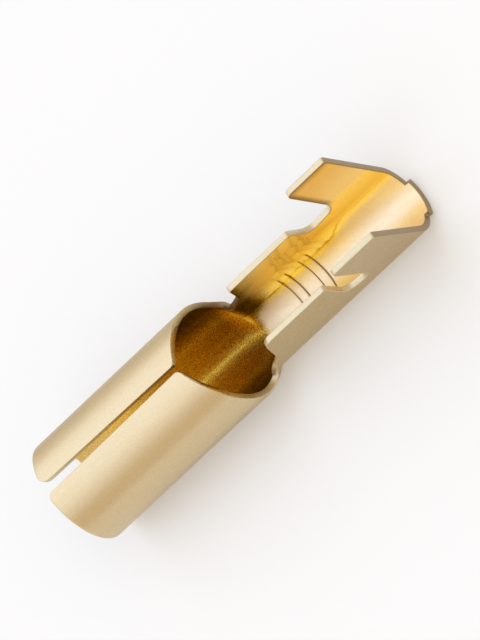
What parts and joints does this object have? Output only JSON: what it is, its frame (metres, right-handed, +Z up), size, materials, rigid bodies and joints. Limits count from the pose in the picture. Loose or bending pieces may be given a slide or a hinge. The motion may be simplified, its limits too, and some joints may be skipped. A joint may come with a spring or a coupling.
{
  "type": "female bullet crimp terminal",
  "caption": "Open female bullet terminal rolled from brass sheet: a split round socket grips a pin, and wings behind a funnel neck crimp onto a bare wire and its insulation.",
  "frame": {"origin": "under the middle of the part's box, on the surface that it lies on", "axes": "+X along the socket's axis from the mouth to the wire end, +Z up, out of the open side"},
  "size_m": [0.0176, 0.0046, 0.0051],
  "materials": {
    "brass": "satin"
  },
  "bodies": {
    "root": {"terminal": "brass"}
  },
  "joints": []
}
